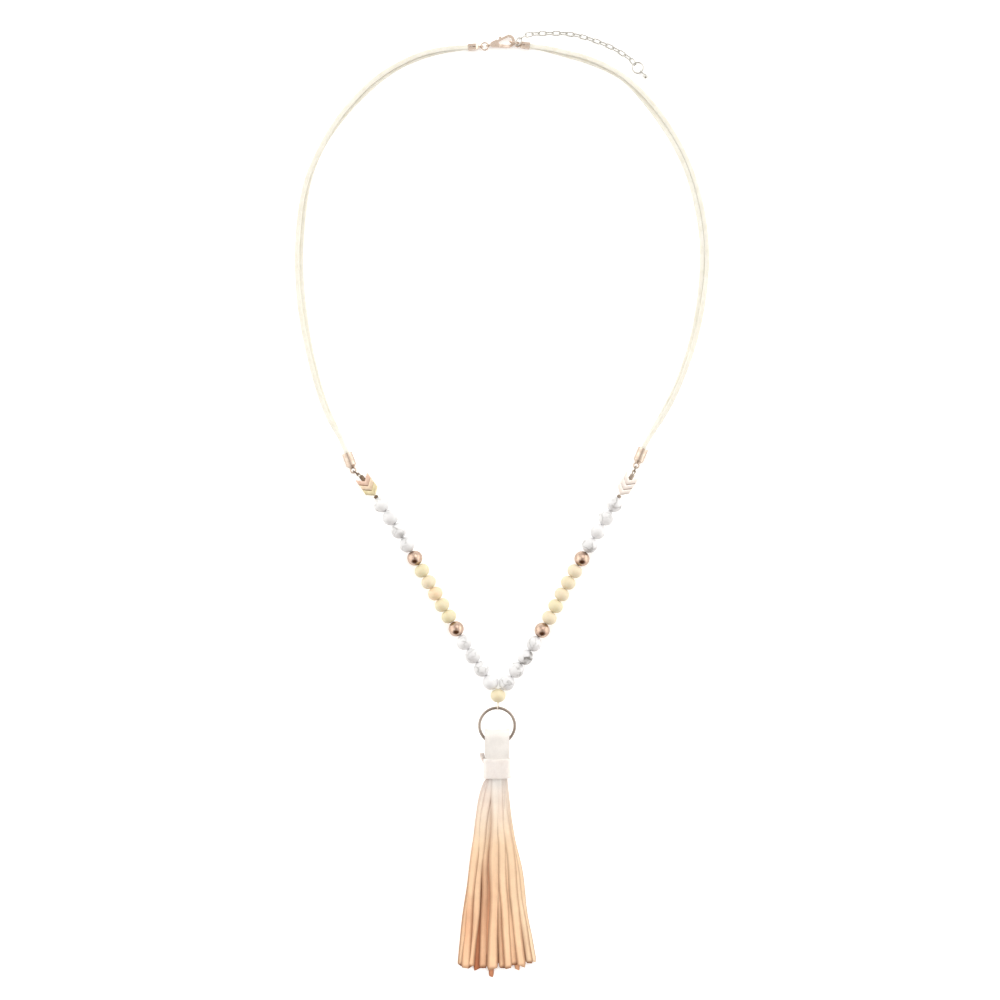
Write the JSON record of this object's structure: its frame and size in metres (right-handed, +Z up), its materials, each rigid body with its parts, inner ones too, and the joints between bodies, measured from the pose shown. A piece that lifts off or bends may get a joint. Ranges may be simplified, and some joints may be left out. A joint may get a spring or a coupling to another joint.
{
  "type": "tassel necklace",
  "caption": "Long necklace of pale suede laces, howlite, wood and metal beads in a V, with a ring and a suede tassel, lying flat.",
  "frame": {"origin": "on the surface that it lies on, below the middle of the bounding box of everything but the laces", "axes": "+Y from the tassel to the clasp, +Z up from the surface, +X to the right seen from above"},
  "size_m": [0.2094, 0.4781, 0.0103],
  "materials": {
    "howlite": "polished white stone with grey veins",
    "wood": "sanded pale wood, satin",
    "bead_metal": "polished rose gold plate",
    "ring_metal": "polished rose gold plate",
    "chain_metal": "polished pale plate",
    "lace_suede": "matt cream faux suede",
    "tassel_suede": "matt apricot faux suede",
    "thread": "waxed beading thread"
  },
  "bodies": {
    "necklace": {"centre_bead": "wood", "howlite_left_1": "howlite", "howlite_left_2": "howlite", "howlite_left_3": "howlite", "howlite_left_4": "howlite", "metal_bead_left_1": "bead_metal", "wood_bead_left_1": "wood", "wood_bead_left_2": "wood", "wood_bead_left_3": "wood", "wood_bead_left_4": "wood", "wood_bead_left_5": "wood", "metal_bead_left_2": "bead_metal", "howlite_left_5": "howlite", "howlite_left_6": "howlite", "howlite_left_7": "howlite", "howlite_left_8": "howlite", "chevron_left_1": "bead_metal", "chevron_left_2": "bead_metal", "chevron_left_3": "bead_metal", "howlite_right_1": "howlite", "howlite_right_2": "howlite", "howlite_right_3": "howlite", "howlite_right_4": "howlite", "metal_bead_right_1": "bead_metal", "wood_bead_right_1": "wood", "wood_bead_right_2": "wood", "wood_bead_right_3": "wood", "wood_bead_right_4": "wood", "wood_bead_right_5": "wood", "metal_bead_right_2": "bead_metal", "howlite_right_5": "howlite", "howlite_right_6": "howlite", "howlite_right_7": "howlite", "howlite_right_8": "howlite", "chevron_right_1": "bead_metal", "chevron_right_2": "bead_metal", "chevron_right_3": "bead_metal", "thread": "thread", "crimps_left": "bead_metal", "crimps_right": "bead_metal", "end_cap_left": "bead_metal", "end_cap_right": "bead_metal", "cap_ring_left": "bead_metal", "cap_ring_right": "bead_metal", "lace_left_outer": "lace_suede", "lace_left_inner": "lace_suede", "lace_right_outer": "lace_suede", "lace_right_inner": "lace_suede", "cord_end_left": "bead_metal", "cord_end_right": "bead_metal", "clasp_ring": "bead_metal", "clasp_body": "bead_metal", "hook_ring": "bead_metal", "extender_chain": "chain_metal", "end_ring": "chain_metal", "end_drop": "chain_metal", "tassel_ring": "ring_metal", "tassel": "tassel_suede", "neck_tie": "lace_suede"},
    "lever": {"clasp_lever": "bead_metal"}
  },
  "joints": [
    {"name": "clasp_lever_hinge", "type": "hinge", "parent": "necklace", "child": "lever", "pos_m": [-0.00066, 0.23344, 0.00171], "axis": [0, 0, -1], "range_deg": [0, 13], "stiffness_Nm_per_rad": 0.02, "springref_deg": -5.73}
  ]
}
